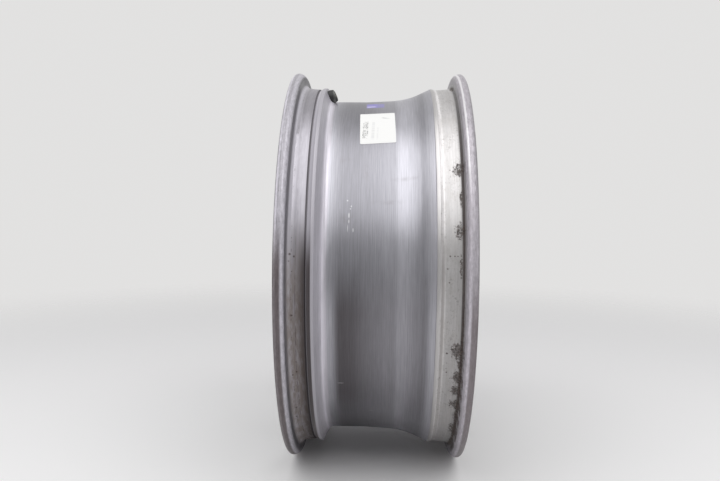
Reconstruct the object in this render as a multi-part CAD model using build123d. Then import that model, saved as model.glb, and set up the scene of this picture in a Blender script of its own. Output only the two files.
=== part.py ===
from build123d import *
import os
from math import asin, cos, degrees, hypot, radians, sin, tan

# The wheel turns about Y. The outboard face looks along -Y, the car side along +Y.
# Axial places are measured from the middle of the rim, radii from the axis.

# Rim, 17 inch by 7 inch with J flanges
BEAD_RADIUS = 436.6 / 2
RIM_WIDTH = 177.8
FLANGE_HEIGHT = 17.5
FLANGE_CURVE = 7.6
FLANGE_ROOT = 6.5
LIP_WIDTH = 12.1
LIP_EDGE = 4.4
SEAT_SLOPE = 5.0
SEAT_WIDTH = 17.8

# Groove at the inner end of the outboard seat, and the hump beyond it
GROOVE_DEPTH = 1.3
GROOVE_FLOOR = 1.3
GROOVE_SIDE = 0.4
HUMP_RISE = 1.6
HUMP_CREST = 3.2
HUMP_LENGTH = 8.9

# Places of the small step, the hump and the start of the seat on the inboard half
INNER_STEP = 60.4
INNER_HUMP = 64.2
INNER_SEAT = 68.0

# Drop centre
WELL_RADIUS = 201.8
WELL_WALL_SLOPE = 65.0
WELL_FILLET = 9.0
WELL_FLOOR_END = -14.0
WELL_RISE_END = 22.0
WELL_RISE = 1.8
WELL_RAMP_START = 40.0
WELL_RAMP_RISE = 5.6

# Metal under the barrel, the seats and the two lips
BARREL_WALL = 5.4
SEAT_WALL = 6.8
INNER_LIP_WALL = 5.8
INNER_LIP_HEIGHT = 6.3
OUTER_LIP_WALL = 6.0
OUTER_LIP_HEIGHT = 14.8

# Hub
OFFSET = 45.0
PAD_RADIUS = 75.0
PAD_HEIGHT = 6.0
BORE_RADIUS = 66.6 / 2
BORE_CHAMFER = 1.7
BORE_DEPTH = 18.0
CAP_BORE_RADIUS = 30.0
CAP_RIM_WIDTH = 8.0
CAP_GROOVE_WIDTH = 2.5
CAP_GROOVE_DEPTH = 1.2
HUB_FRONT = -79.0
HUB_FRONT_RADIUS = 46.0

# Dish of the arms between hub and rim
SPOKE_FRONT = -97.0
DISH_RADIUS = 122.0
ARM_BACK = -62.0

# Bolt circle
BOLT_COUNT = 5
BOLT_CIRCLE = 112.0
BOLT_HOLE_RADIUS = 7.5
BOLT_POCKET_RADIUS = 15.0
BOLT_SEAT_RADIUS = 12.0
BOLT_SEAT_ANGLE = 60.0
BOLT_SEAT_DEPTH = 13.0

# Spokes, five pairs of parallel arms
SPOKE_PAIRS = 5
ARM_WIDTH = 25.0
ARM_OFFSET_HUB = 19.5
ARM_OFFSET_RIM = 33.0
WINDOW_INNER = 87.0
WINDOW_OUTER = 206.0
WINDOW_INNER_CORNER = 14.0
WINDOW_OUTER_CORNER = 16.0
SLOT_INNER = 101.0
SLOT_INNER_CORNER = 5.0
SLOT_OUTER_CORNER = 9.0
SLOT_NARROWING = 1.0
WINDOW_MARGIN = 6.0
WINDOW_DEPTH = 70.0
DRAFT = 4.0
FRONT_EDGES = -82.0
FRONT_ROUNDING = 4.0
BACK_EDGES = -67.0
BACK_ROUNDING = 2.5

# Lightening pockets in the mounting pad, one between each two bolt holes
POCKET_INNER = 44.0
POCKET_OUTER = 67.0
POCKET_HALF_ANGLE = 20.0
POCKET_CORNER = 5.0
POCKET_DEPTH = 14.0

# Tyre valve, snapped into the outboard wall of the drop centre
VALVE_ANGLE = 11.5
VALVE_CENTRE_RADIUS = 208.4
VALVE_HOLE_RADIUS = 5.75
VALVE_WALL = 4.0
VALVE_SPOT_RADIUS = 9.2
VALVE_SPOT_DEPTH = 0.3
VALVE_SPOT_CLEARANCE = 12.0
VALVE_RELIEF_RADIUS = 8.5
VALVE_RELIEF_DEPTH = 46.0
VALVE_FOOT_RADIUS = 8.2
VALVE_FOOT_HEIGHT = 7.6
VALVE_FOOT_END_RADIUS = 6.8
VALVE_SLEEVE = 29.5
VALVE_SLEEVE_RADIUS = 5.9
VALVE_AIR_RADIUS = 1.6
VALVE_STEM_RADIUS = 3.2
VALVE_HEAD_RADIUS = 4.3
VALVE_HEAD_HEIGHT = 1.6
VALVE_HEAD_DEPTH = 0.4
VALVE_THREAD_RADIUS = 3.85
VALVE_LENGTH = 37.5
VALVE_CORE_RADIUS = 2.65
VALVE_CORE_SEAT = 21.0
VALVE_PIN_RADIUS = 0.6
CAP_RADIUS = 4.9
CAP_ROOF = 1.6
CAP_GAP = 0.05
CAP_RIBS = 16
CAP_RIB_SIZE = (0.7, 0.9, 6.4)

# Paper label on the drop centre
LABEL_WIDTH = 39.0
LABEL_HEIGHT = 62.0
LABEL_CORNER = 1.5
LABEL_ANGLE = 34.9
LABEL_TILT = 1.4
LABEL_THICKNESS = 0.12
LABEL_REACH = 10.0

FLANGE_FACE = RIM_WIDTH / 2
FLANGE_RADIUS = BEAD_RADIUS + FLANGE_HEIGHT
LIP_FACE = FLANGE_FACE + LIP_WIDTH
SEAT_END = FLANGE_FACE - SEAT_WIDTH
SEAT_END_RADIUS = BEAD_RADIUS - SEAT_WIDTH * tan(radians(SEAT_SLOPE))
HUMP_RADIUS = SEAT_END_RADIUS + HUMP_RISE
WALL_TOP = -(SEAT_END - HUMP_LENGTH)
WALL_FOOT = WALL_TOP + (HUMP_RADIUS - WELL_RADIUS) / tan(radians(WELL_WALL_SLOPE))
WALL_SHIFT = BARREL_WALL / sin(radians(WELL_WALL_SLOPE))
VALVE_PLACE = WALL_TOP + (HUMP_RADIUS - VALVE_CENTRE_RADIUS) / tan(radians(WELL_WALL_SLOPE))
PAIR_ANGLE = 360 / SPOKE_PAIRS


def ring(outline):
    """Turned solid from a closed outline of (axial, radius, corner radius) points."""
    points = [(axial, radius) for axial, radius, corner in outline]
    corners = [corner for axial, radius, corner in outline]
    profile = FilletPolyline(*points, radius=corners, close=True)
    return revolve(make_face(Plane.YZ * profile), Axis.Y)


def polar(radius, angle):
    """Point of the wheel's face at a radius and an angle from the top."""
    return (radius * sin(radians(angle)), radius * cos(radians(angle)))


def around(solid, count, start=0.0):
    """Copies of a solid spaced evenly round the wheel axis."""
    return [solid.rotate(Axis.Y, start + index * 360 / count) for index in range(count)]


def outer_outline():
    """Tyre side of the rim, from the outboard lip to the inboard lip."""
    groove_floor = SEAT_END_RADIUS - GROOVE_DEPTH
    inner_seat_drop = (FLANGE_FACE - INNER_SEAT) * tan(radians(SEAT_SLOPE))
    return [
        (-LIP_FACE, FLANGE_RADIUS, LIP_EDGE),
        (-FLANGE_FACE, FLANGE_RADIUS, FLANGE_CURVE),
        (-FLANGE_FACE, BEAD_RADIUS, FLANGE_ROOT),
        (-SEAT_END, SEAT_END_RADIUS, 0),
        (-SEAT_END + GROOVE_SIDE, groove_floor, 0.3),
        (-SEAT_END + GROOVE_SIDE + GROOVE_FLOOR, groove_floor, 0.3),
        (-SEAT_END + 2 * GROOVE_SIDE + GROOVE_FLOOR, SEAT_END_RADIUS - 0.3, 0),
        (WALL_TOP - HUMP_CREST, HUMP_RADIUS, 1.2),
        (WALL_TOP, HUMP_RADIUS, 1.6),
        (WALL_FOOT, WELL_RADIUS, WELL_FILLET),
        (WELL_FLOOR_END, WELL_RADIUS, 120),
        (WELL_RISE_END, WELL_RADIUS + WELL_RISE, 90),
        (WELL_RAMP_START, WELL_RADIUS + WELL_RAMP_RISE, 60),
        (INNER_STEP, SEAT_END_RADIUS + 0.1, 0),
        (INNER_STEP + 0.6, SEAT_END_RADIUS + 0.8, 0.4),
        (INNER_HUMP, HUMP_RADIUS - 0.4, 3),
        (INNER_SEAT, BEAD_RADIUS - inner_seat_drop, 3),
        (FLANGE_FACE, BEAD_RADIUS, FLANGE_ROOT),
        (FLANGE_FACE, FLANGE_RADIUS, FLANGE_CURVE),
        (LIP_FACE, FLANGE_RADIUS, LIP_EDGE),
    ]


def inner_outline():
    """Axis side of the rim, from the inboard lip to the outboard lip."""
    under_seat = BEAD_RADIUS - SEAT_WALL
    under_well = WELL_RADIUS - BARREL_WALL
    lip_back = LIP_FACE - INNER_LIP_WALL
    return [
        (LIP_FACE, FLANGE_RADIUS - INNER_LIP_HEIGHT, 1.8),
        (lip_back, FLANGE_RADIUS - INNER_LIP_HEIGHT - 4, 4),
        (lip_back, under_seat, 5),
        (INNER_STEP + 1.6, under_seat - 0.8, 20),
        (WELL_RAMP_START, under_well + WELL_RAMP_RISE, 60),
        (WELL_RISE_END, under_well + WELL_RISE, 80),
        (WELL_FLOOR_END, under_well, 100),
        (WALL_FOOT - WALL_SHIFT + 2, under_well - 0.4, 5),
        (WALL_TOP - WALL_SHIFT + 3, under_seat, 6),
        (-FLANGE_FACE - 1, under_seat, 6),
        (-LIP_FACE + OUTER_LIP_WALL, under_seat + 3.5, 3),
        (-LIP_FACE, FLANGE_RADIUS - OUTER_LIP_HEIGHT, 2.5),
    ]


def rim():
    """Rim barrel with both seats, the drop centre and both lips."""
    return ring(outer_outline() + inner_outline())


def disc():
    """Dished disc from the centre bore to the rim, before the windows are cut."""
    cap_wall = HUB_FRONT + CAP_RIM_WIDTH
    cap_groove_end = cap_wall + CAP_GROOVE_WIDTH
    cap_groove_radius = CAP_BORE_RADIUS + CAP_GROOVE_DEPTH
    return ring([
        (-OFFSET, BORE_RADIUS + BORE_CHAMFER, 0),
        (-OFFSET, PAD_RADIUS, 2),
        (-OFFSET - PAD_HEIGHT, PAD_RADIUS + 3, 5),
        (-OFFSET - PAD_HEIGHT - 2, PAD_RADIUS + 14, 12),
        (ARM_BACK, DISH_RADIUS, 60),
        (ARM_BACK - 1, 165.0, 60),
        (ARM_BACK + 2, WELL_RADIUS - 5, 10),
        (ARM_BACK - 0.5, 213.0, 0),
        (SPOKE_FRONT + 0.5, BEAD_RADIUS + 0.2, 0),
        (SPOKE_FRONT, 204.0, 30),
        (SPOKE_FRONT + 3, DISH_RADIUS, 150),
        (HUB_FRONT - 6, 68.0, 40),
        (HUB_FRONT, HUB_FRONT_RADIUS, 12),
        (HUB_FRONT, CAP_BORE_RADIUS + CAP_GROOVE_DEPTH, 0),
        (HUB_FRONT + CAP_GROOVE_DEPTH, CAP_BORE_RADIUS, 0),
        (cap_wall, CAP_BORE_RADIUS, 0),
        (cap_wall, cap_groove_radius, 0),
        (cap_groove_end, cap_groove_radius, 0),
        (cap_groove_end, CAP_BORE_RADIUS, 0),
        (-OFFSET - BORE_DEPTH, CAP_BORE_RADIUS, 0),
        (-OFFSET - BORE_DEPTH, BORE_RADIUS, 0),
        (-OFFSET - BORE_CHAMFER, BORE_RADIUS, 0),
    ])


def window(inner, half_inner, half_outer, inner_corner, outer_corner):
    """Tapered cutter for one opening between the arms, centred on the top of the wheel.

    half_inner and half_outer are the angles from its centre line to its sides."""
    corners = [
        polar(inner * 0.8, -half_inner),
        polar(inner * 0.8, half_inner),
        polar(inner, half_inner),
        polar(WINDOW_OUTER, half_outer),
        polar(WINDOW_OUTER * 1.2, half_outer),
        polar(WINDOW_OUTER * 1.2, -half_outer),
        polar(WINDOW_OUTER, -half_outer),
        polar(inner, -half_inner),
    ]
    band = Circle(WINDOW_OUTER) - Circle(inner)
    opening = band & Polygon(*corners, align=None)
    middle = (inner + WINDOW_OUTER) / 2
    near = [corner for corner in opening.vertices() if hypot(corner.X, corner.Y) < middle]
    opening = fillet(near, inner_corner)
    far = [corner for corner in opening.vertices() if hypot(corner.X, corner.Y) > WINDOW_OUTER - 1]
    opening = fillet(far, outer_corner)
    back_plane = Plane.XZ.offset(OFFSET - WINDOW_MARGIN)
    return extrude(back_plane * opening, WINDOW_DEPTH, taper=-DRAFT)


def arm_windows():
    """Cutters for the five wide windows and the five slots between paired arms."""
    half_pair = PAIR_ANGLE / 2
    outside_hub = degrees(asin((ARM_OFFSET_HUB + ARM_WIDTH / 2) / WINDOW_INNER))
    outside_rim = degrees(asin((ARM_OFFSET_RIM + ARM_WIDTH / 2) / WINDOW_OUTER))
    wide = window(
        WINDOW_INNER,
        half_pair - outside_hub,
        half_pair - outside_rim,
        WINDOW_INNER_CORNER,
        WINDOW_OUTER_CORNER,
    )
    inside_hub = degrees(asin((ARM_OFFSET_HUB + SLOT_NARROWING - ARM_WIDTH / 2) / SLOT_INNER))
    inside_rim = degrees(asin((ARM_OFFSET_RIM - ARM_WIDTH / 2) / WINDOW_OUTER))
    slot = window(SLOT_INNER, inside_hub, inside_rim, SLOT_INNER_CORNER, SLOT_OUTER_CORNER)
    return around(wide, SPOKE_PAIRS, VALVE_ANGLE) + around(slot, SPOKE_PAIRS, VALVE_ANGLE + half_pair)


def window_walls(star):
    """Faces of the star that run from its back to its front."""
    return [
        face
        for face in star.faces()
        if abs(face.normal_at().Y) < 0.3 and hypot(face.center().X, face.center().Z) > PAD_RADIUS + 5
    ]


def spokes():
    """Hub and arms: the dished disc with its windows cut and their edges rounded."""
    star = disc() - arm_windows()
    front = [
        edge
        for wall in window_walls(star)
        for edge in wall.edges()
        if max((edge @ 0).Y, (edge @ 1).Y) < FRONT_EDGES
    ]
    star = fillet(front, FRONT_ROUNDING)
    back = [
        edge
        for wall in window_walls(star)
        for edge in wall.edges()
        if min((edge @ 0).Y, (edge @ 1).Y) > BACK_EDGES
    ]
    return fillet(back, BACK_ROUNDING)


def bolt_hole():
    """Cutter for one bolt hole with its cone seat and its pocket, on the axis of the wheel."""
    seat = -OFFSET - BOLT_SEAT_DEPTH
    cone = (BOLT_SEAT_RADIUS - BOLT_HOLE_RADIUS) / tan(radians(BOLT_SEAT_ANGLE / 2))
    return ring([
        (-OFFSET + 1, 0, 0),
        (-OFFSET + 1, BOLT_HOLE_RADIUS, 0),
        (seat + cone, BOLT_HOLE_RADIUS, 0),
        (seat, BOLT_SEAT_RADIUS, 0),
        (seat, BOLT_POCKET_RADIUS, 0),
        (-LIP_FACE, BOLT_POCKET_RADIUS, 0),
        (-LIP_FACE, 0, 0),
    ])


def pad_pocket():
    """Cutter for one lightening pocket in the mounting pad, at the top of the wheel."""
    beyond = PAD_RADIUS * 1.5
    wedge = Polygon(
        (0, 0),
        polar(beyond, -POCKET_HALF_ANGLE),
        polar(beyond, POCKET_HALF_ANGLE),
        align=None,
    )
    outline = (Circle(POCKET_OUTER) - Circle(POCKET_INNER)) & wedge
    outline = fillet(outline.vertices(), POCKET_CORNER)
    return extrude(Plane.XZ.offset(OFFSET) * outline, POCKET_DEPTH, taper=DRAFT)


def valve_plane():
    """Plane on the valve's seat, its normal pointing out of the tyre along the stem."""
    lean = radians(WELL_WALL_SLOPE)
    turn = radians(VALVE_ANGLE)
    outward = Vector(-cos(lean) * sin(turn), -sin(lean), -cos(lean) * cos(turn))
    centre = Vector(VALVE_CENTRE_RADIUS * sin(turn), VALVE_PLACE, VALVE_CENTRE_RADIUS * cos(turn))
    return Plane(origin=centre + outward * VALVE_SPOT_DEPTH, z_dir=outward)


def valve_turned(outline):
    """Turned piece of the valve from (radius, height over the seat, corner radius) points."""
    points = [(radius, height) for radius, height, corner in outline]
    corners = [corner for radius, height, corner in outline]
    profile = FilletPolyline(*points, radius=corners, close=True)
    return valve_plane() * revolve(make_face(Plane.XZ * profile), Axis.Z)


def valve_bore(radius, bottom, top):
    """Plain round cutter on the valve's axis between two heights over its seat."""
    return valve_turned([(0, bottom, 0), (radius, bottom, 0), (radius, top, 0), (0, top, 0)])


def valve_cutters():
    """Valve hole, the spot face round it in the well and the relief behind it."""
    return [
        valve_bore(VALVE_SPOT_RADIUS, -VALVE_SPOT_CLEARANCE, 0),
        valve_bore(VALVE_HOLE_RADIUS, -1, VALVE_WALL + 5),
        valve_bore(VALVE_RELIEF_RADIUS, VALVE_WALL, VALVE_RELIEF_DEPTH),
    ]


def wheel_casting():
    """The whole wheel: rim, arms and hub are one casting."""
    half_pair = PAIR_ANGLE / 2
    casting = rim() + spokes()
    bolt = bolt_hole().translate((0, 0, BOLT_CIRCLE / 2))
    casting -= around(bolt, BOLT_COUNT, VALVE_ANGLE + half_pair)
    casting -= around(pad_pocket(), BOLT_COUNT, VALVE_ANGLE)
    casting -= valve_cutters()
    return casting


def valve_rubber():
    """Rubber body: domed foot, neck in the rim's hole, snap bulge and tapered sleeve."""
    foot_end = -VALVE_FOOT_HEIGHT
    head_end = foot_end + VALVE_HEAD_DEPTH + VALVE_HEAD_HEIGHT
    return valve_turned([
        (VALVE_HEAD_RADIUS, foot_end, 0),
        (VALVE_FOOT_END_RADIUS, foot_end, 1.8),
        (VALVE_FOOT_RADIUS, -3.4, 2.2),
        (VALVE_FOOT_RADIUS, 0, 0),
        (VALVE_HOLE_RADIUS, 0, 0),
        (VALVE_HOLE_RADIUS, VALVE_WALL, 0),
        (7.6, VALVE_WALL + 0.6, 0.5),
        (7.3, VALVE_WALL + 3.5, 1.5),
        (VALVE_SLEEVE_RADIUS, 12.0, 4),
        (VALVE_SLEEVE_RADIUS - 0.7, VALVE_SLEEVE - 2.5, 1),
        (VALVE_SLEEVE_RADIUS - 1.6, VALVE_SLEEVE, 0.8),
        (VALVE_STEM_RADIUS, VALVE_SLEEVE, 0),
        (VALVE_STEM_RADIUS, head_end, 0),
        (VALVE_HEAD_RADIUS, head_end, 0),
    ])


def valve_stem():
    """Brass stem bonded in the rubber, its head open in the foot's end and its thread bare."""
    head_face = -VALVE_FOOT_HEIGHT + VALVE_HEAD_DEPTH
    return valve_turned([
        (VALVE_AIR_RADIUS, head_face, 0),
        (VALVE_HEAD_RADIUS, head_face, 0),
        (VALVE_HEAD_RADIUS, head_face + VALVE_HEAD_HEIGHT, 0),
        (VALVE_STEM_RADIUS, head_face + VALVE_HEAD_HEIGHT, 0),
        (VALVE_STEM_RADIUS, VALVE_SLEEVE, 0),
        (VALVE_THREAD_RADIUS, VALVE_SLEEVE + 0.6, 0),
        (VALVE_THREAD_RADIUS, VALVE_LENGTH - 0.5, 0),
        (VALVE_THREAD_RADIUS - 0.5, VALVE_LENGTH, 0),
        (VALVE_CORE_RADIUS, VALVE_LENGTH, 0),
        (VALVE_CORE_RADIUS, VALVE_CORE_SEAT, 0),
        (VALVE_AIR_RADIUS, VALVE_CORE_SEAT - 2, 0),
    ])


def valve_core():
    """Closed valve core on its cone seat, with the end of its pin just below the stem's end."""
    spring_end = VALVE_CORE_SEAT - 4
    top = VALVE_LENGTH - 1.4
    return valve_turned([
        (0, spring_end, 0),
        (1.2, spring_end, 0.3),
        (1.2, VALVE_CORE_SEAT - 2.5, 0),
        (VALVE_CORE_RADIUS, VALVE_CORE_SEAT + 0.3, 0),
        (VALVE_CORE_RADIUS, top - 0.6, 0),
        (2.0, top, 0),
        (VALVE_PIN_RADIUS, top, 0),
        (VALVE_PIN_RADIUS, VALVE_LENGTH - 0.3, 0.2),
        (0, VALVE_LENGTH - 0.3, 0),
    ])


def valve_cap():
    """Dust cap with grip ribs, its roof resting on the end of the stem."""
    mouth = VALVE_SLEEVE + 0.5
    inside = VALVE_THREAD_RADIUS + CAP_GAP
    cap = valve_turned([
        (inside, mouth, 0),
        (CAP_RADIUS, mouth, 0.3),
        (CAP_RADIUS, VALVE_LENGTH + CAP_ROOF, 0.9),
        (0, VALVE_LENGTH + CAP_ROOF, 0),
        (0, VALVE_LENGTH, 0),
        (inside, VALVE_LENGTH, 0),
    ])
    rib = Box(*CAP_RIB_SIZE).translate((CAP_RADIUS, 0, mouth + 0.9 + CAP_RIB_SIZE[2] / 2))
    ribs = [rib.rotate(Axis.Z, index * 360 / CAP_RIBS) for index in range(CAP_RIBS)]
    return cap + [valve_plane() * copy for copy in ribs]


def well_floor(raised):
    """Solid under the floor of the drop centre, its outer face raised off the metal."""
    bottom = WELL_RADIUS - 1
    top = WELL_RADIUS + raised
    return ring([
        (WALL_FOOT + LABEL_REACH, bottom, 0),
        (WALL_FOOT + LABEL_REACH, top, 0),
        (WELL_FLOOR_END, top, 120),
        (WELL_RISE_END, top + WELL_RISE, 90),
        (WELL_RAMP_START, top + WELL_RAMP_RISE, 0),
        (WELL_RAMP_START, bottom, 0),
    ])


def paper_label():
    """Plain label stuck on the floor of the drop centre, curved with it."""
    turn = radians(LABEL_ANGLE)
    outward = Vector(sin(turn), 0, cos(turn))
    plane = Plane(origin=outward * (WELL_RADIUS - LABEL_REACH / 2), x_dir=(0, 1, 0), z_dir=outward)
    sheet = RectangleRounded(LABEL_WIDTH, LABEL_HEIGHT, LABEL_CORNER, rotation=LABEL_TILT)
    prism = extrude(plane * sheet, 1.5 * LABEL_REACH)
    return (well_floor(LABEL_THICKNESS) - well_floor(0)) & prism


def main():
    os.makedirs("parts", exist_ok=True)
    pieces = {
        "wheel_casting": wheel_casting(),
        "valve_rubber": valve_rubber(),
        "valve_stem": valve_stem(),
        "valve_core": valve_core(),
        "valve_cap": valve_cap(),
        "paper_label": paper_label(),
    }
    for node, solid in pieces.items():
        export_step(solid, f"parts/{node}.step")


main()
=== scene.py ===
from math import pi, radians

import bpy
from mathutils import Matrix, Vector

MM = 0.001
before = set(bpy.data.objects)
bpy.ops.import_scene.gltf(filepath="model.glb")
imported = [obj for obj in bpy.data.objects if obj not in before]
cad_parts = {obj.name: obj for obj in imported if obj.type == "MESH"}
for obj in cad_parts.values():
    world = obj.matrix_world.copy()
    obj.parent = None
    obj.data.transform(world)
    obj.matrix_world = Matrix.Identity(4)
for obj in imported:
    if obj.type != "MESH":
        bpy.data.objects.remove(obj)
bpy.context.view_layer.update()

# Places on the wheel are millimetres along its axis (Y, outboard negative), millimetres from
# the axis, and degrees round from the top (+Z) towards the camera's side (+X).
FLANGE_RADIUS = 235.8
BEAD_RADIUS = 218.3
WELL_RADIUS = 201.8

# Camera, at the photograph's viewing angle
CAMERA_PLACE = (0.9747, 0.0068, 0.1147)
CAMERA_RIGHT = (-0.030322, 0.999507, 0.008206)
CAMERA_UP = (-0.087116, -0.010821, 0.996140)
CAMERA_LENS = 38.53
SENSOR = 36.0
CLIP_START = 0.01

# Studio, in metres
FLOOR_HALF = 3.0
FLOOR_FADE = (0.75, 1.6)
FLOOR_PAINT = (0.80, 0.795, 0.79, 1)
FLOOR_SEEN = (0.97, 0.965, 0.96, 1)
ROOM_SEEN = (0.76, 0.755, 0.75, 1)
ROOM_LIGHT = (0.48, 0.48, 0.4896, 1)
ROOM_FRONT = (0.42, 0.42, 0.42, 1)
BEHIND_CAMERA = (0.1, 0.8)
LAMP_RADIANCE = 1.45
LAMP_LENGTH = 1.85
LAMP_WIDTH = 2.3
LAMP_PLACE = (0.78, 0.0, 1.27)
LAMP_TILT = 22.0

# Metal along the rim from the outboard lip to the inboard one: place, tone, share of it that
# is bare. Each zone has its own tint. Besides the metal's own tone, the tones hold painted
# highlights on the outboard lip's edge, at the foot of the outboard hump and on the inboard
# hump, and painted shade in both flange roots.
OUTBOARD_TONES = (
    (-101.0, 0.14, 0.2), (-100.4, 0.30, 0.3), (-99.6, 0.78, 0.4), (-98.2, 0.74, 0.4),
    (-97.3, 0.46, 0.4), (-95.2, 0.38, 0.3), (-94.4, 0.44, 0.3), (-93.2, 0.56, 0.3),
    (-91.2, 0.58, 0.3), (-89.9, 0.46, 0.2), (-89.5, 0.22, 0.2), (-89.0, 0.12, 0.1),
    (-88.5, 0.20, 0.0), (-88.0, 0.44, 0.0), (-86.8, 0.58, 0.1), (-84.6, 0.44, 0.8),
    (-82.4, 0.39, 0.85), (-81.3, 0.33, 0.9), (-80.2, 0.36, 1.0), (-78.0, 0.39, 1.0),
    (-74.0, 0.38, 1.0), (-72.0, 0.34, 1.0), (-69.2, 0.56, 0.1), (-67.5, 0.52, 0.1),
    (-66.0, 0.46, 0.3), (-63.6, 0.42, 0.2), (-61.9, 0.43, 0.0), (-59.0, 0.48, 0.05),
    (-57.0, 0.57, 0.15), (-55.2, 0.86, 0.5), (-52.0, 0.62, 0.85), (-50.0, 0.46, 1.0),
)
WELL_TONES = (
    (-50.0, 0.45, 1.0), (-44.0, 0.335, 1.0), (-36.0, 0.27, 1.0), (-24.0, 0.26, 1.0),
    (-10.0, 0.295, 1.0), (0.0, 0.305, 0.95), (8.0, 0.335, 0.9), (18.5, 0.36, 0.88),
    (24.6, 0.49, 0.92), (32.0, 0.465, 1.0), (43.0, 0.37, 1.0), (49.4, 0.30, 0.95),
    (55.5, 0.39, 0.8), (61.0, 0.45, 0.9),
)
INBOARD_TONES = (
    (61.0, 0.45, 0.9), (62.3, 0.52, 0.95), (64.4, 0.57, 0.95), (66.0, 0.82, 0.6),
    (67.8, 0.86, 0.5), (68.8, 0.62, 0.8), (70.4, 0.55, 0.8), (81.0, 0.54, 0.85),
    (83.8, 0.50, 0.8), (85.2, 0.44, 0.6), (85.8, 0.24, 0.1), (86.3, 0.11, 0.0),
    (87.9, 0.11, 0.0), (88.6, 0.32, 0.0), (89.6, 0.46, 0.1), (90.8, 0.46, 0.2),
    (91.6, 0.60, 0.5), (92.8, 0.63, 0.5), (93.9, 0.50, 0.3), (95.4, 0.47, 0.3),
    (96.6, 0.47, 0.3), (98.4, 0.46, 0.3), (99.8, 0.38, 0.3), (101.0, 0.18, 0.3),
)
RIM_ZONES = (
    (OUTBOARD_TONES, (0.99, 0.955, 1.045)),
    (WELL_TONES, (0.995, 0.985, 1.075)),
    (INBOARD_TONES, (1.01, 0.985, 0.985)),
)
ZONE_BLEND = 0.5

# Tyre side of the rim: its wall and its lips by radius, its front, and how far its surface
# leans away from the axis
TYRE_WALL_RADII = (200.0, 200.8)
TYRE_LIP_RADII = (219.0, 219.6)
TYRE_FRONT = (-99.0, -97.8)
LEANS_OUT = (0.0, 0.1)
LEANS_WELL_OUT = (0.1, 0.3)

# Bands of the rim along the axis, and the lips by their radius
TURNED = (-62.0, 84.0)
OUTER_SEAT = (-88.5, -71.5)
SCORED_LINE = (-80.4, -79.8)
TICK_LINE = (-84.4, -83.8)
SEAT_DEEPENS = (-81.5, -71.0)
SEAT_ENDS = (-70.2, -69.8)
SEAT_GROOVE = (-71.6, -69.6)
GROOVE_RADII = (213.0, 214.0)
HUMP_FLANK = (-69.4, -65.0)
LIP_BACK = (-94.4, -92.4)
# Painted shade below the middle: where it starts, ends and thins along the well, and its band on
# the inboard seat
WELL_SHADE_START = (-46.0, -37.0)
WELL_SHADE_END = (50.0, 58.0)
WELL_SHADE_FADES = (-34.0, 2.0)
INBOARD_SEAT_SHADE = (70.0, 86.0)
INNER_HUMP = (65.4, 68.5)
INNER_SEAT = (64.0, 87.0)
INNER_ROOT = (86.1, 88.3)
INNER_LIP_START = (86.0, 89.0)
INNER_CREST = (91.4, 93.2)
INNER_LIP_EDGE = (93.4, 94.8)
LIP_RADII = (222.0, 225.0)

# Turns from the top, in degrees either way, over which the painted shade and painted
# highlights of the rim set in
LOW_HALF = (68.0, 96.0)
SHADED = (71.0, 86.0)
# Turns over which the painted shade below the middle sets in and thins
LOW_SHADE_TURNS = (81.0, 99.0)
LOW_SHADE_THINS = (124.0, 142.0)
CREST_FADES = (57.0, 68.0)
LIP_EDGE_DARKENS = (82.0, 100.0)
ROOT_DARKENS = (34.0, 52.0)

# Colours of dirt, wear, painted shade, painted reflection and painted highlights on the rim
# Painted shade of the lower well and inboard seat
LOW_WELL_SHADE = (0.036, 0.026, 0.026, 1)
# Painted brown reflection on the lower half of the outboard seat
SEAT_BROWN_REFLECTION = (0.19, 0.155, 0.13, 1)
SEAT_SHADE = (0.045, 0.034, 0.032, 1)
LIP_BACK_SHADE = (0.085, 0.060, 0.056, 1)
SCORE_DIRT = (0.045, 0.032, 0.03, 1)
# Dirt and painted shade in the outboard seat's groove
GROOVE_DIRT_AND_SHADE = (0.03, 0.024, 0.026, 1)
LIP_WEAR = (0.13, 0.112, 0.11, 1)
INNER_LIP_TINT = (0.985, 0.95, 1.03, 1)
# Painted highlight of the inboard crest
CREST_HIGHLIGHT = (0.95, 0.94, 0.95, 1)
LIP_EDGE_SHADE = (0.105, 0.075, 0.072, 1)
# Dirt and painted shade of the inboard flange root
ROOT_DIRT_AND_SHADE = (0.050, 0.034, 0.031, 1)
HUMP_SHADE = (0.33, 0.31, 0.305, 1)
TARNISH = (0.30, 0.28, 0.25, 1)
FRECKLE = (0.18, 0.17, 0.16, 1)
SMUDGE = (0.15, 0.13, 0.12, 1)
SPECK = (0.06, 0.04, 0.035, 1)
SCRATCH = (0.70, 0.70, 0.72, 1)
CRUST_DARK = (0.026, 0.017, 0.014, 1)
CRUST_PALE = (0.13, 0.095, 0.08, 1)

# Corrosion: its line at the inboard root, where it starts and ends along the rim, the turns
# over which it thickens and closes, and its lumps as along, angle, half length along, half
# length around
CORROSION_LINE = 87.4
CORROSION_STARTS = (74.0, 77.0)
CORROSION_ENDS = (88.9, 89.8)
CORROSION_THICKENS = (88.0, 108.0)
CORROSION_CLOSES = (88.0, 100.0)
CORRODED = (
    (83.4, 57.2, 6.2, 8.5), (85.0, 66.0, 1.6, 9.0), (83.0, 74.6, 5.2, 8.5),
    (84.6, 84.0, 1.5, 12.0), (83.4, 107.0, 7.4, 9.5), (86.0, 111.0, 3.4, 6.0),
    (85.4, 115.5, 6.4, 8.0), (86.2, 120.2, 7.4, 8.0), (86.8, 125.8, 8.6, 8.0),
    (88.6, 131.0, 5.4, 8.0), (88.6, 139.0, 8.0, 18.0), (89.4, 151.0, 4.4, 24.0),
    (86.0, 12.0, 2.0, 18.0), (86.0, -38.0, 4.6, 14.0), (85.5, -74.0, 4.0, 22.0),
    (86.0, -121.0, 5.2, 18.0),
)

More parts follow.
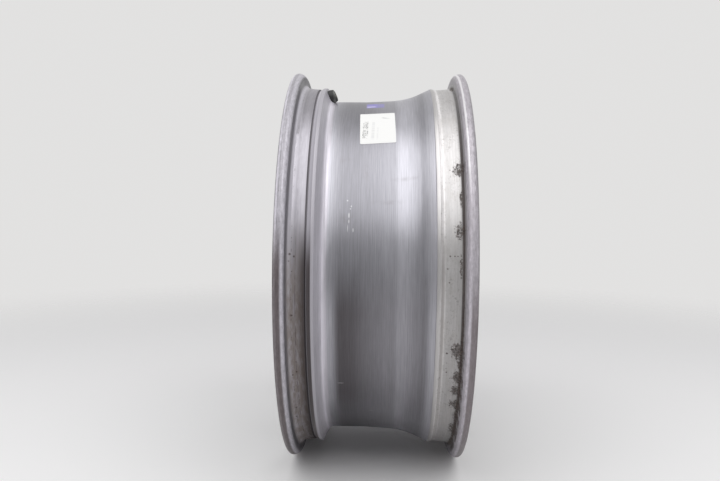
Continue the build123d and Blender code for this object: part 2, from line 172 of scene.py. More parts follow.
# Dark specks on the seats: along, angle, half size
SPECKS = (
    (73.9, 81.2, 0.8), (78.3, 81.2, 0.7), (81.3, 81.2, 0.6), (71.5, 84.5, 0.9),
    (73.2, 88.1, 0.8), (74.6, 57.0, 0.6), (72.9, 107.8, 1.1), (73.3, 113.9, 0.8),
    (-85.6, 81.1, 1.1), (-81.4, 81.7, 1.0), (-84.0, 97.3, 1.3), (-86.4, 82.9, 0.8),
    (-83.4, 85.6, 0.5), (-80.2, 111.2, 1.0), (-80.4, 114.4, 0.9), (-84.6, 115.4, 0.8),
    (-83.6, 128.6, 1.3), (-84.8, 133.2, 1.1),
)

# Pale scratches in the well: along, angle, half length along, half length around
SCRATCHES = (
    (-29.8, 64.7, 0.7, 0.8), (-25.8, 66.5, 0.6, 0.9), (-26.6, 67.3, 0.6, 0.6),
    (-28.0, 69.3, 0.7, 2.6), (-28.0, 71.1, 0.5, 1.8), (-29.1, 73.2, 0.35, 3.4),
    (-23.5, 73.7, 0.6, 2.0), (-36.5, 122.6, 3.2, 0.35), (-4.0, 137.0, 2.0, 0.3),
)

# Faint smudges in the well: along, angle, half length along, half length around
SMUDGES = (
    (-34.0, 50.6, 5.0, 4.0), (-11.5, 55.0, 2.4, 9.0), (12.0, 65.3, 13.0, 2.2),
    (30.0, 58.0, 11.0, 2.0), (-30.0, 70.5, 9.0, 4.0),
)

# Blue marker stroke in the well
MARKER_PLACE = -3.2
MARKER_ANGLE = 17.1
MARKER_HALF = (10.2, 10.0)
MARKER_PALE_BAND = (3.6, 7.4)
MARKER_THINS = (0.0, 4.0)
MARKER_INK = (0.25, 0.22, 0.60, 1)
MARKER_PALE = (0.66, 0.62, 0.88, 1)

# Lacquer of the spokes and the inside, and its share of metal, clean and under dust
SILVER_DARK = (0.38, 0.385, 0.39, 1)
SILVER_LIGHT = (0.48, 0.485, 0.49, 1)
INSIDE = (-62.0, -20.0)
INSIDE_GREY = (0.22, 0.21, 0.20, 1)
BRAKE_DUST = (0.12, 0.10, 0.088, 1)
POCKET = (-78.0, -56.0)
POCKET_RADII = (73.0, 71.0)
# Painted shade in the bolt pockets
POCKET_SHADE = (0.2, 0.195, 0.19, 1)
LACQUER_METAL = (0.75, 0.35)

# Turned pad that meets the hub
PAD = (-45.6, -44.0)
PAD_RADII = (76.0, 75.4)
BORE = (-64.0, -63.0)
BORE_RADII = (34.2, 33.8)
PAD_RINGS = 1.6
PAD_DARK = (0.42, 0.42, 0.425, 1)
PAD_LIGHT = (0.60, 0.60, 0.605, 1)

# Roughness, brushing, and height of the bumps in metres
RIM_MARKED_ROUGH = 0.62
DUSTY_ROUGH = 0.6
PAD_ROUGH = 0.33
PAPER_ROUGH = 0.62
BRUSHED = 0.55
RIM_BUMP = 0.00006
PAPER_BUMP = 0.00004

# Most of a noise lies in this range
NOISE_RANGE = (0.3, 0.7)

# Valve: tones of the grain, its size in millimetres, roughness, height of the bump in metres,
# share of bare metal, strength of a painted sheen. Painted sheen on its foot: along, angle, half
# length along, half around.
SMALL_PARTS = {
    "valve_rubber": dict(
        name="valve_rubber_black", dark=(0.012, 0.012, 0.013), light=(0.035, 0.034, 0.034),
        size=1.2, rough=0.52, height=0.00008, sheen=0.8,
    ),
    "valve_stem": dict(
        name="valve_brass", dark=(0.30, 0.27, 0.21), light=(0.52, 0.48, 0.38),
        size=0.9, rough=0.34, height=0.00003, metallic=1.0,
    ),
    "valve_core": dict(
        name="valve_core_brass", dark=(0.36, 0.30, 0.16), light=(0.58, 0.50, 0.30),
        size=0.7, rough=0.3, height=0.00003, metallic=1.0,
    ),
    "valve_cap": dict(
        name="valve_cap_plastic", dark=(0.016, 0.016, 0.017), light=(0.045, 0.045, 0.047),
        size=0.8, rough=0.42, height=0.00005,
    ),
}
# Painted sheen on the valve's rubber foot
VALVE_FOOT_SHEEN = (-52.2, 12.6, 1.9, 3.2)
FOOT_SHEEN = (0.20, 0.205, 0.19, 1)

# Paper label: its place, and on it in millimetres across and down a column of pen strokes,
# printed bars with their strengths, and a short tick
LABEL_ANGLE = 34.9
LABEL_TILT = 1.4
PEN_COLUMN = ((-16.2, -10.4), (-10.0, 22.0))
BARS = (
    ((-6.4, -3.2), (-9.0, 24.0), 1.0),
    ((-0.6, 1.2), (2.0, 24.0), 0.6),
)
TICK = ((4.5, 13.0), (-20.8, -19.4))
TICK_SLOPE = -0.25
PAPER_DARK = (0.84, 0.84, 0.82, 1)
PAPER_LIGHT = (0.90, 0.90, 0.885, 1)
PEN_INK = (0.05, 0.055, 0.05, 1)
PRINT_INK = (0.40, 0.41, 0.42, 1)
TICK_INK = (0.22, 0.22, 0.23, 1)
TICK_FADES = (5.0, 13.0)


class Graph:
    """A node tree with short calls for the nodes that repeat."""

    def __init__(self, tree):
        self.tree = tree
        tree.nodes.clear()

    def node(self, kind, **settings):
        """New node with these settings."""
        made = self.tree.nodes.new(kind)
        for key, value in settings.items():
            setattr(made, key, value)
        return made

    def feed(self, socket, value):
        """Links an output to a socket, or sets the socket to a constant."""
        if isinstance(value, bpy.types.NodeSocket):
            self.tree.links.new(value, socket)
        else:
            socket.default_value = value

    def math(self, operation, *values):
        """Math node fed with these values."""
        made = self.node("ShaderNodeMath", operation=operation)
        for socket, value in zip(made.inputs, values):
            self.feed(socket, value)
        return made.outputs[0]

    def chain(self, operation, values):
        """Many values joined by one operation, two at a time."""
        result = values[0]
        for value in values[1:]:
            result = self.math(operation, result, value)
        return result

    def both(self, *masks):
        """Product of masks and strengths."""
        return self.chain("MULTIPLY", masks)

    def either(self, *masks):
        """The strongest of the masks."""
        return self.chain("MAXIMUM", masks)

    def reach(self, first, second):
        """Length of the line across two numbers at right angles."""
        squares = self.math("MULTIPLY", first, first), self.math("MULTIPLY", second, second)
        return self.math("SQRT", self.math("ADD", *squares))

    def step(self, value, low, high, to_low=0.0, to_high=1.0, kind="SMOOTHSTEP"):
        """Smooth change from to_low to to_high while value runs from low to high."""
        made = self.node("ShaderNodeMapRange", interpolation_type=kind)
        for socket, amount in zip(made.inputs, (value, low, high, to_low, to_high)):
            self.feed(socket, amount)
        return made.outputs[0]

    def slope(self, *amounts):
        """The same change as step's in a straight line."""
        return self.step(*amounts, kind="LINEAR")

    def band(self, value, low, high, edge):
        """1 between low and high, 0 outside, with soft edges."""
        rise = self.step(value, low - edge, low + edge)
        fall = self.step(value, high - edge, high + edge, 1.0, 0.0)
        return self.math("MULTIPLY", rise, fall)

    def spread(self, noise, low, high):
        """Noise stretched over low to high."""
        return self.slope(noise, *NOISE_RANGE, low, high)

    def mix(self, factor, first, second, blend="MIX"):
        """Colour mix."""
        made = self.node("ShaderNodeMix", data_type="RGBA", blend_type=blend)
        self.feed(made.inputs[0], factor)
        self.feed(made.inputs[6], first)
        self.feed(made.inputs[7], second)
        return made.outputs[2]

    def between(self, factor, first, second):
        """Number mix."""
        made = self.node("ShaderNodeMix", data_type="FLOAT")
        self.feed(made.inputs[0], factor)
        self.feed(made.inputs[2], first)
        self.feed(made.inputs[3], second)
        return made.outputs[0]

    def cover(self, colour, paint, *masks):
        """Colour covered with paint as far as the product of the masks goes."""
        return self.mix(self.both(*masks), colour, paint)

    def varied(self, colour, mask, *amounts):
        """Colour made lighter and darker inside the mask by a product of numbers near 1."""
        product = self.both(*amounts)
        return self.mix(mask, colour, self.mix(1.0, colour, product, "MULTIPLY"))

    def ramp(self, value, low, high, stops):
        """Ramp over low..high from (place, colour, number) stops: its colour and its number."""
        made = self.node("ShaderNodeValToRGB")
        elements = made.color_ramp.elements
        while len(elements) > 1:
            elements.remove(elements[-1])
        for index, (place, colour, number) in enumerate(stops):
            position = (place - low) / (high - low)
            element = elements[0] if index == 0 else elements.new(position)
            element.position = position
            element.color = (*colour, number)
        self.feed(made.inputs[0], self.slope(value, low, high))
        return made.outputs

    def noise(self, vector, detail=2.0, roughness=0.5, distortion=0.0):
        """Noise around 0.5, its marks about one unit of the vector long."""
        made = self.node("ShaderNodeTexNoise")
        self.feed(made.inputs["Vector"], vector)
        self.feed(made.inputs["Scale"], 1.0)
        self.feed(made.inputs["Detail"], detail)
        self.feed(made.inputs["Roughness"], roughness)
        self.feed(made.inputs["Distortion"], distortion)
        return made.outputs[0]

    def bump(self, height, distance):
        """Normal of a height between 0 and 1 that stands for this many metres."""
        made = self.node("ShaderNodeBump")
        self.feed(made.inputs["Height"], height)
        self.feed(made.inputs["Distance"], distance)
        return made.outputs[0]

    def surface(self, **sockets):
        """Principled surface from socket values, joined to the material's output."""
        shader = self.node("ShaderNodeBsdfPrincipled")
        output = self.node("ShaderNodeOutputMaterial")
        for name, value in sockets.items():
            self.feed(shader.inputs[name.replace("_", " ")], value)
        self.feed(output.inputs[0], shader.outputs[0])

    def light_path(self, *kinds):
        """1 for rays of these kinds."""
        path = self.node("ShaderNodeLightPath")
        return self.either(*[path.outputs[kind] for kind in kinds])


def new_material(name):
    """A material and the graph of its nodes."""
    material = bpy.data.materials.new(name)
    material.use_nodes = True
    return material, Graph(material.node_tree)


class Place:
    """Where a point of the wheel is, as node outputs."""

    def __init__(self, g):
        self.g = g
        coords = g.node("ShaderNodeTexCoord")
        self.point = coords.outputs["Object"]
        split = g.node("ShaderNodeSeparateXYZ")
        g.feed(split.inputs[0], self.point)
        x, y, z = split.outputs
        self.along = g.math("DIVIDE", y, MM)
        reach = g.reach(x, z)
        self.radius = g.math("DIVIDE", reach, MM)
        self.angle = g.math("DEGREES", g.math("ARCTAN2", x, z))
        normal = g.node("ShaderNodeSeparateXYZ")
        g.feed(normal.inputs[0], coords.outputs["Normal"])
        lean_x = g.math("MULTIPLY", normal.outputs[0], x)
        lean_z = g.math("MULTIPLY", normal.outputs[2], z)
        self.outward = g.math("DIVIDE", g.math("ADD", lean_x, lean_z), reach)
        self.facing = normal.outputs[1]

    def grain(self, around, along, **settings):
        """Noise with marks about so many millimetres long round the wheel and along its axis."""
        g = self.g
        scaled = g.node("ShaderNodeVectorMath", operation="MULTIPLY")
        g.feed(scaled.inputs[0], self.point)
        scale = (1 / (around * MM), 1 / (along * MM), 1 / (around * MM))
        scaled.inputs[1].default_value = scale
        return g.noise(scaled.outputs[0], **settings)

    def arc(self, angle, radius):
        """Millimetres round the wheel from that angle."""
        turn = self.g.math("SUBTRACT", self.angle, angle)
        return self.g.math("MULTIPLY", turn, radians(1) * radius)

    def spot(self, along, angle, half_along, half_around, radius, soft):
        """Round or long mark, its half sizes in millimetres."""
        g = self.g
        across = g.math("DIVIDE", g.math("SUBTRACT", self.along, along), half_along)
        down = g.math("DIVIDE", self.arc(angle, radius), half_around)
        return g.step(g.reach(across, down), 1.0 - soft, 1.0 + soft, 1.0, 0.0)

    def marks(self, places, radius, soft):
        """One mask of several (along, angle, half along, half around) marks."""
        return self.g.either(*[self.spot(*place, radius, soft) for place in places])


class Rim(Place):
    """A point of the casting, with the masks that several marks of the rim share."""

    def __init__(self, g):
        super().__init__(g)
        self.turned_down = g.math("ABSOLUTE", self.angle)
        self.low_half = g.step(self.turned_down, *LOW_HALF)
        self.shaded = g.step(self.turned_down, *SHADED)
        self.lips = g.step(self.radius, *LIP_RADII)
        self.inner_lip = g.both(self.lips, g.step(self.along, *INNER_LIP_START))
        self.outer_seat = g.band(self.along, *OUTER_SEAT, 0.6)
        self.inner_seat = g.band(self.along, *INNER_SEAT, 1.5)


def tyre_side(g, at):
    """Mask of the turned tyre side of the rim with both lips."""
    wall = g.both(g.step(at.outward, *LEANS_OUT), g.step(at.radius, *TYRE_WALL_RADII))
    lips = g.step(at.radius, *TYRE_LIP_RADII)
    front = g.either(g.step(at.along, *TYRE_FRONT), g.step(at.outward, *LEANS_WELL_OUT))
    return g.both(g.either(wall, lips), front)


def rim_tones(g, at):
    """Colour and share of bare metal along the rim, its tones holding painted highlights and
    shade.
    """
    colour = None
    for tones, tint in RIM_ZONES:
        low, high = tones[0][0], tones[-1][0]
        stops = [(place, [tone * part for part in tint], bare) for place, tone, bare in tones]
        zone_colour, zone_share = g.ramp(at.along, low, high, stops)
        if colour is None:
            colour, share = zone_colour, zone_share
        else:
            here = g.step(at.along, low - ZONE_BLEND, low + ZONE_BLEND)
            colour = g.mix(here, colour, zone_colour)
            share = g.between(here, share, zone_share)
    return colour, share


def painted_shade_below(g, at, colour):
    """Painted shade below the middle, in the well and on the inboard seat."""
    turns_shaded = g.both(
        g.step(at.turned_down, *LOW_SHADE_TURNS),
        g.step(at.turned_down, *LOW_SHADE_THINS, 1.0, 0.5),
    )
    well = g.both(
        g.step(at.along, *WELL_SHADE_START),
        g.step(at.along, *WELL_SHADE_END, 1.0, 0.0),
    )
    depth = g.either(
        g.both(well, g.step(at.along, *WELL_SHADE_FADES, 0.66, 0.32)),
        g.both(g.band(at.along, *INBOARD_SEAT_SHADE, 3.0), 0.22),
    )
    return g.cover(colour, LOW_WELL_SHADE, turns_shaded, depth)


def outer_seat_streaks_and_reflection(g, at, colour):
    """Streaked outboard seat with painted brown reflection below: colour, and the brown's mask."""
    streaks = at.grain(120, 0.8, detail=3.0, roughness=0.65)
    patches = at.grain(14, 3.0, detail=4.0, roughness=0.65)
    light = g.spread(streaks, 0.86, 1.1), g.spread(patches, 0.9, 1.07)
    colour = g.varied(colour, at.outer_seat, *light)
    # Painted brown reflection, in patches, on the lower half of the seat
    brown = g.both(at.outer_seat, at.low_half, g.step(patches, 0.30, 0.62, 0.25, 0.75))
    return g.cover(colour, SEAT_BROWN_REFLECTION, brown), brown


def outboard_shade(g, at, colour):
    """Shade towards the seat's groove, on the hump's flank and behind the outboard lip."""
    deepening = g.both(
        g.step(at.along, *SEAT_DEEPENS, 0.0, 0.9),
        g.step(at.along, *SEAT_ENDS, 1.0, 0.0),
    )
    shade = g.either(g.band(at.along, *HUMP_FLANK, 0.6), deepening)
    colour = g.cover(colour, SEAT_SHADE, shade, at.shaded, 0.88)
    lip_back = g.step(at.along, *LIP_BACK, 1.0, 0.0)
    return g.cover(colour, LIP_BACK_SHADE, lip_back, at.shaded, 0.8)


def seat_scores(g, at, colour):
    """Broken dark line round the outboard seat, and a row of short ticks beside it."""
    broken = g.step(at.grain(12, 40, detail=4.0), 0.42, 0.56, 0.15, 1.0)
    stronger_below = g.step(at.low_half, 0.0, 1.0, 0.25, 0.7)
    dashes = g.both(g.band(at.along, *SCORED_LINE, 0.35), broken, stronger_below)
    dotted = g.step(at.grain(5, 40, detail=3.0), 0.56, 0.64)
    ticks = g.both(g.band(at.along, *TICK_LINE, 0.3), dotted, 0.5)
    return g.cover(colour, SCORE_DIRT, g.either(dashes, ticks))


def seat_groove(g, at, colour):
    """Dirt and painted shade, deeper below, in the outboard seat's end groove: colour and mask."""
    groove = g.both(g.band(at.along, *SEAT_GROOVE, 0.3), g.step(at.radius, *GROOVE_RADII))
    # The painted shade deepens on the lower half
    strength = g.step(at.shaded, 0.0, 1.0, 0.72, 0.95)
    return g.cover(colour, GROOVE_DIRT_AND_SHADE, groove, strength), groove


def lip_wear(g, at, colour):
    """Bruises and worn patches of both lips."""
    bruises = at.grain(9, 1.6, detail=5.0, roughness=0.7)
    grime = at.grain(3, 3, detail=3.0, roughness=0.6)
    light = g.spread(bruises, 0.70, 1.20), g.spread(grime, 0.92, 1.07)
    colour = g.varied(colour, at.lips, *light)
    worn = g.step(at.grain(5, 2.4, detail=4.0, roughness=0.7), 0.60, 0.74)
    return g.cover(colour, LIP_WEAR, at.lips, worn, 0.45)


def inner_lip_highlight_and_shade(g, at, colour):
    """Inboard lip: cooler, crest highlight painted above, edge shade painted below, root dirt and
    shade.
    """
    cooler = g.mix(1.0, colour, INNER_LIP_TINT, "MULTIPLY")
    colour = g.mix(at.inner_lip, colour, cooler)
    # Painted highlight along the crest, on the upper part only
    crest = g.band(at.along, *INNER_CREST, 0.4)
    above = g.step(at.turned_down, *CREST_FADES, 0.75, 0.0)
    colour = g.cover(colour, CREST_HIGHLIGHT, at.inner_lip, crest, above)
    edge = g.step(at.along, *INNER_LIP_EDGE)
    below = g.step(at.turned_down, *LIP_EDGE_DARKENS, 0.0, 0.62)
    colour = g.cover(colour, LIP_EDGE_SHADE, at.inner_lip, edge, below)
    # Dirt and painted shade in the flange root, darker lower down
    root = g.band(at.along, *INNER_ROOT, 0.5)
    deeper = g.step(at.turned_down, *ROOT_DARKENS, 0.25, 0.8)
    return g.cover(colour, ROOT_DIRT_AND_SHADE, root, deeper)


def inner_seat_tarnish(g, at, colour):
    """Shade on the inboard hump, and tarnish and freckles on its seat."""
    hump = g.band(at.along, *INNER_HUMP, 0.5)
    colour = g.cover(colour, HUMP_SHADE, hump, at.shaded, 0.75)
    tarnish = g.step(at.grain(16, 7, detail=5.0, roughness=0.7), 0.42, 0.70)
    colour = g.cover(colour, TARNISH, at.inner_seat, tarnish, 0.26)
    clusters = g.step(at.grain(24, 14, detail=3.0), 0.40, 0.66, 0.15, 1.0)
    freckles = g.step(at.grain(2.8, 2.2, detail=4.0, roughness=0.65), 0.52, 0.68)
    return g.cover(colour, FRECKLE, at.inner_seat, clusters, freckles, 0.55)


def small_marks(g, at, colour):
    """Smudges and scratches of the well, specks of the seats: colour, and the specks' mask."""
    smudge = at.marks(SMUDGES, WELL_RADIUS, 0.95)
    uneven = g.step(at.grain(9, 7, detail=4.0), 0.3, 0.65)
    colour = g.cover(colour, SMUDGE, smudge, uneven, 0.2)
    round_specks = [(along, angle, half, half) for along, angle, half in SPECKS]
    speck = at.marks(round_specks, BEAD_RADIUS, 0.35)
    speck = g.both(speck, g.step(at.grain(1.8, 1.6, detail=3.0), 0.34, 0.56, 0.25, 1.0))
    colour = g.cover(colour, SPECK, speck, 0.8)
    scratch = at.marks(SCRATCHES, WELL_RADIUS, 0.5)
    return g.cover(colour, SCRATCH, scratch, 0.5), speck


def corrosion(g, at):
    """Mask of ragged oxide along the root of the inboard flange and in lumps on its seat."""
    ragged = at.grain(3.2, 2.7, detail=6.0, roughness=0.75, distortion=0.4)
    off_line = g.math("ABSOLUTE", g.math("SUBTRACT", at.along, CORROSION_LINE))
    line = g.both(
        g.step(off_line, 0.6, 2.6, 0.72, 0.0),
        g.step(at.turned_down, *CORROSION_THICKENS, 0.45, 1.0),
    )
    field = g.either(line, at.marks(CORRODED, BEAD_RADIUS, 0.9))
    field = g.math("MULTIPLY_ADD", g.math("SUBTRACT", ragged, 0.52), 2.6, field)
    on_seat = g.both(
        g.step(at.along, *CORROSION_STARTS),
        g.step(at.along, *CORROSION_ENDS, 1.0, 0.0),
    )
    solid = g.step(at.turned_down, *CORROSION_CLOSES, 0.3, 0.7)
    holes = g.step(at.grain(2.2, 2.0, detail=3.0, roughness=0.6), 0.38, 0.52, solid, 1.0)
    return g.both(g.step(field, 0.42, 0.72), holes, on_seat)


def crusted(g, at, colour):
    """Colour with the crust of oxide over it, and the oxide's mask."""
    oxide = corrosion(g, at)
    crumbs = g.step(at.grain(1.6, 1.6, detail=3.0), 0.42, 0.72)
    crust = g.mix(crumbs, CRUST_DARK, CRUST_PALE)
    return g.cover(colour, crust, oxide, 0.88), oxide


def marker_stroke(g, at, colour):
    """Smear of blue marker with a paler streak along its lower side: colour and mask."""
    half_along, half_around = MARKER_HALF
    ragged = at.grain(6, 14, detail=3.0)
    down = at.arc(MARKER_ANGLE, WELL_RADIUS)
    across = g.math("SUBTRACT", at.along, MARKER_PLACE)
    edge = g.math("MULTIPLY_ADD", g.math("SUBTRACT", ragged, 0.5), 3.0, down)
    stroke = g.both(
        g.band(across, -half_along, half_along, 1.0),
        g.band(edge, -half_around, half_around, 1.2),
        g.step(across, *MARKER_THINS, 0.88, 0.6),
    )
    pale = g.both(g.band(edge, *MARKER_PALE_BAND, 1.2), g.band(across, -half_along, 0.0, 2.0))
    ink = g.mix(pale, MARKER_INK, MARKER_PALE)
    return g.cover(colour, ink, stroke), stroke


def rim_metal(g, at):
    """Turned and tarnished rim: colour, roughness, share of bare metal and height."""
    lines = at.grain(900, 1.3, detail=3.0, roughness=0.7)
    fine = at.grain(24, 1.0, detail=3.0, roughness=0.6)
    clouds = at.grain(70, 16, detail=4.0, roughness=0.6)
    mottle = at.grain(7, 5, detail=4.0, roughness=0.65)
    colour, share = rim_tones(g, at)
    turning = g.spread(lines, 0.91, 1.08), g.spread(fine, 0.91, 1.09), g.spread(clouds, 0.94, 1.06)
    colour = g.varied(colour, g.band(at.along, *TURNED, 3.0), *turning)

    colour = painted_shade_below(g, at, colour)
    colour, brown = outer_seat_streaks_and_reflection(g, at, colour)
    colour = outboard_shade(g, at, colour)
    colour = seat_scores(g, at, colour)
    colour, groove = seat_groove(g, at, colour)
    colour = lip_wear(g, at, colour)
    colour = inner_lip_highlight_and_shade(g, at, colour)
    colour = inner_seat_tarnish(g, at, colour)
    colour, speck = small_marks(g, at, colour)
    colour, oxide = crusted(g, at, colour)
    colour, marker = marker_stroke(g, at, colour)

    # Roughness rises under the painted brown reflection and under oxide, groove dirt and specks
    rougher = g.either(brown, oxide, groove, speck)
    rough = g.between(rougher, g.spread(clouds, 0.30, 0.38), RIM_MARKED_ROUGH)
    share = g.both(share, g.slope(g.either(oxide, groove, marker), 0.0, 1.0, 1.0, 0.0))
    height = g.math("MULTIPLY_ADD", lines, 0.6, g.math("MULTIPLY", fine, 0.25))
    height = g.math("MULTIPLY_ADD", g.both(oxide, mottle), 3.0, height)
    return colour, rough, share, height


def lacquered_metal(g, at):
    """Silver lacquer, brake-dusted inside: colour, roughness, metal and height."""
    flake = at.grain(0.5, 0.5, detail=1.0)
    cast = at.grain(5, 5, detail=3.0, roughness=0.6)
    silver = g.mix(g.step(flake, 0.35, 0.65), SILVER_DARK, SILVER_LIGHT)
    inside = g.step(at.along, *INSIDE)
    dust_and_sheen = g.both(inside, g.step(at.grain(40, 30, detail=5.0, roughness=0.65), 0.35, 0.75))
    colour = g.cover(silver, BRAKE_DUST, dust_and_sheen, 0.55)
    colour = g.cover(colour, INSIDE_GREY, inside, 0.35)
    # Painted shade in the bolt pockets
    pocket = g.both(g.step(at.radius, *POCKET_RADII), g.band(at.along, *POCKET, 2.0))
    colour = g.cover(colour, POCKET_SHADE, pocket, 0.3)
    rough = g.between(dust_and_sheen, g.spread(cast, 0.32, 0.40), DUSTY_ROUGH)
    metal = g.between(dust_and_sheen, *LACQUER_METAL)
    height = g.math("MULTIPLY", cast, g.between(inside, 0.5, 2.2))
    return colour, rough, metal, height


def mounting_pad(g, at):
    """Mask of the turned pad and bores that meet the hub."""
    pad = g.both(
        g.step(at.facing, 0.9, 0.97),
        g.band(at.along, *PAD, 0.3),
        g.step(at.radius, *PAD_RADII),
    )
    bore = g.both(g.step(at.radius, *BORE_RADII), g.step(at.along, *BORE))
    return g.either(pad, bore)


def turned_rings(g, at):
    """Fine rings that the tool left on the pad."""
    rings = g.node("ShaderNodeTexNoise", noise_dimensions="1D")
    g.feed(rings.inputs["W"], at.radius)
    g.feed(rings.inputs["Scale"], PAD_RINGS)
    return g.mix(rings.outputs[0], PAD_DARK, PAD_LIGHT)


def cast_alloy():
    """The one material of the casting: turned rim, lacquered spokes, turned pad."""
    material, g = new_material("cast_alloy")
    at = Rim(g)
    rim = tyre_side(g, at)
    rim_colour, rim_rough, rim_share, rim_height = rim_metal(g, at)
    colour, rough, metal, height = lacquered_metal(g, at)

    pad = mounting_pad(g, at)
    colour = g.mix(pad, colour, turned_rings(g, at))
    rough = g.between(pad, rough, PAD_ROUGH)
    metal = g.between(pad, metal, 1.0)

    tangent = g.node("ShaderNodeTangent", direction_type="RADIAL", axis="Y")
    g.surface(
        Base_Color=g.mix(rim, colour, rim_colour),
        Roughness=g.between(rim, rough, rim_rough),
        Metallic=g.between(rim, metal, rim_share),
        Anisotropic=BRUSHED,
        Tangent=tangent.outputs[0],
        Normal=g.bump(g.between(rim, height, rim_height), RIM_BUMP),
    )
    return material


def grained(name, dark, light, size, rough, height, metallic=0.0, sheen=0.0):
    """Material of a small part: a fine grain of two tones, lighter where worn, and a painted
    sheen.
    """
    material, g = new_material(name)
    at = Place(g)
    grain = at.grain(size, size, detail=4.0, roughness=0.65)
    wear = at.grain(size * 8, size * 8, detail=3.0)
    colour = g.mix(g.step(grain, 0.3, 0.7), (*dark, 1), (*light, 1))
    colour = g.mix(g.step(wear, 0.5, 0.8, 0.0, 0.4), colour, (*light, 1))
    # Painted sheen: a pale grainy spot on the valve's foot
    dust_and_sheen = g.both(at.marks((VALVE_FOOT_SHEEN,), WELL_RADIUS, 0.6), g.step(grain, 0.25, 0.6, 0.6, 1.0))
    colour = g.cover(colour, FOOT_SHEEN, dust_and_sheen, sheen)
    g.surface(
        Base_Color=colour,
        Roughness=g.spread(grain, rough - 0.06, rough + 0.08),
        Metallic=metallic,
        Normal=g.bump(grain, height),
    )
    return material


def pen_strokes(g, at, across, down):
    """Mask of a column of pen strokes that spell nothing."""
    scribble = at.grain(4.2, 3.0, detail=2.0, roughness=0.6, distortion=1.5)
    off_middle = g.math("ABSOLUTE", g.math("SUBTRACT", scribble, 0.5))
    stroke = g.step(off_middle, 0.014, 0.058, 1.0, 0.0)
    stroke = g.both(stroke, g.step(at.grain(5, 6), 0.36, 0.5, 0.4, 1.0))
    columns, rows = PEN_COLUMN
    return g.both(stroke, g.both(g.band(across, *columns, 0.6), g.band(down, *rows, 1.5)), 0.85)


def printed_bars(g, at, across, down):
    """Mask of pale printed bars."""
    bars = g.either(*[
        g.both(g.band(across, *columns, 0.4), g.band(down, *rows, 1.0), strength)
        for columns, rows, strength in BARS
    ])
    lines = g.step(at.grain(1.6, 30, detail=1.0), 0.42, 0.54, 0.35, 1.0)
    return g.both(bars, lines, 0.22)


def pen_tick(g, across, down):
    """Mask of a short slanted tick that fades to one end."""
    columns, rows = TICK
    slanted = g.math("MULTIPLY_ADD", across, TICK_SLOPE, down)
    tick = g.both(g.band(slanted, *rows, 0.5), g.band(across, *columns, 2.0))
    return g.both(tick, g.step(across, *TICK_FADES, 0.75, 0.15))


def label_paper():
    """White label paper with a column of pen strokes and pale printed bars."""
    material, g = new_material("label_paper")
    at = Place(g)
    arc = at.arc(LABEL_ANGLE, WELL_RADIUS)
    lean = radians(LABEL_TILT)
    across = g.math("MULTIPLY_ADD", arc, lean, at.along)
    down = g.math("MULTIPLY_ADD", at.along, -lean, arc)
    fibre = at.grain(1.2, 1.2, detail=4.0, roughness=0.7)
    colour = g.mix(fibre, PAPER_DARK, PAPER_LIGHT)
    colour = g.mix(pen_strokes(g, at, across, down), colour, PEN_INK)
    colour = g.mix(printed_bars(g, at, across, down), colour, PRINT_INK)
    colour = g.mix(pen_tick(g, across, down), colour, TICK_INK)
    g.surface(Base_Color=colour, Roughness=PAPER_ROUGH, Normal=g.bump(fibre, PAPER_BUMP))
    return material


def dress_nodes():
    """Gives each CAD node its material."""
    looks = {"wheel_casting": cast_alloy()}
    for node, look in SMALL_PARTS.items():
        looks[node] = grained(**look)
    looks["paper_label"] = label_paper()
    for node, material in looks.items():
        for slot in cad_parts[node].material_slots:
            slot.material = material


def make_room():
    """Plain room: pale wherever the camera looks, greyer behind the camera for reflections."""
    world = bpy.data.worlds.new("studio")
    bpy.context.scene.world = world
    world.use_nodes = True
    g = Graph(world.node_tree)
    coords = g.node("ShaderNodeTexCoord")
    split = g.node("ShaderNodeSeparateXYZ")
    g.feed(split.inputs[0], coords.outputs["Generated"])
    behind_camera = g.step(split.outputs[0], *BEHIND_CAMERA)
    reflected = g.mix(behind_camera, ROOM_SEEN, ROOM_FRONT)
    mirrored = g.light_path("Is Glossy Ray", "Is Transmission Ray")
    colour = g.mix(mirrored, ROOM_LIGHT, reflected)
    colour = g.mix(g.light_path("Is Camera Ray"), colour, ROOM_SEEN)
    back = g.node("ShaderNodeBackground")
    g.feed(back.inputs[0], colour)
    g.feed(g.node("ShaderNodeOutputWorld").inputs[0], back.outputs[0])


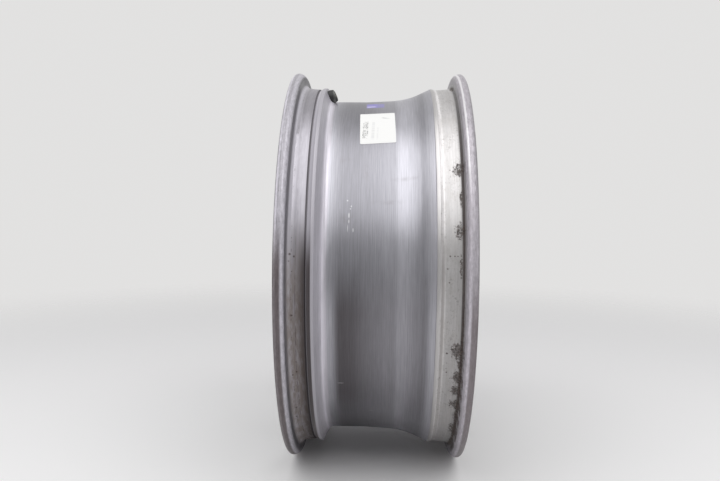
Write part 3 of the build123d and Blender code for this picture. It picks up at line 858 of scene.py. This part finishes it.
def floor_paint():
    """Pale paint that melts into the room with distance."""
    material, g = new_material("floor_paint")
    coords = g.node("ShaderNodeTexCoord")
    length = g.node("ShaderNodeVectorMath", operation="LENGTH")
    g.feed(length.inputs[0], coords.outputs["Object"])
    paint = g.node("ShaderNodeBsdfDiffuse")
    g.feed(paint.inputs[0], g.mix(g.light_path("Is Camera Ray"), FLOOR_PAINT, FLOOR_SEEN))
    clear = g.node("ShaderNodeBsdfTransparent")
    blend = g.node("ShaderNodeMixShader")
    g.feed(blend.inputs[0], g.step(length.outputs["Value"], *FLOOR_FADE))
    g.feed(blend.inputs[1], paint.outputs[0])
    g.feed(blend.inputs[2], clear.outputs[0])
    g.feed(g.node("ShaderNodeOutputMaterial").inputs[0], blend.outputs[0])
    return material


def make_floor():
    """Pale floor under the lips."""
    height = -FLANGE_RADIUS * MM
    corners = [(-1, -1), (1, -1), (1, 1), (-1, 1)]
    points = [(x * FLOOR_HALF, y * FLOOR_HALF, height) for x, y in corners]
    mesh = bpy.data.meshes.new("floor")
    mesh.from_pydata(points, [], [(0, 1, 2, 3)])
    mesh.materials.append(floor_paint())
    floor = bpy.data.objects.new("floor", mesh)
    bpy.context.scene.collection.objects.link(floor)


def make_lamp():
    """One wide soft box overhead and in front."""
    data = bpy.data.lights.new("soft_box", "AREA")
    data.shape = "RECTANGLE"
    data.size = LAMP_LENGTH
    data.size_y = LAMP_WIDTH
    data.energy = LAMP_RADIANCE * pi * LAMP_LENGTH * LAMP_WIDTH
    lamp = bpy.data.objects.new("soft_box", data)
    lamp.location = LAMP_PLACE
    lamp.rotation_euler = (0, radians(LAMP_TILT), 0)
    bpy.context.scene.collection.objects.link(lamp)


def make_camera():
    """Camera at the photograph's viewing angle."""
    data = bpy.data.cameras.new("camera")
    data.lens = CAMERA_LENS
    data.sensor_width = SENSOR
    data.clip_start = CLIP_START
    camera = bpy.data.objects.new("camera", data)
    right = Vector(CAMERA_RIGHT).normalized()
    up = Vector(CAMERA_UP).normalized()
    turn = Matrix((right, up, right.cross(up))).transposed()
    camera.matrix_world = Matrix.Translation(CAMERA_PLACE) @ turn.to_4x4()
    bpy.context.scene.collection.objects.link(camera)
    bpy.context.scene.camera = camera


dress_nodes()
make_floor()
make_lamp()
make_room()
make_camera()
bpy.context.scene.view_settings.view_transform = "Standard"
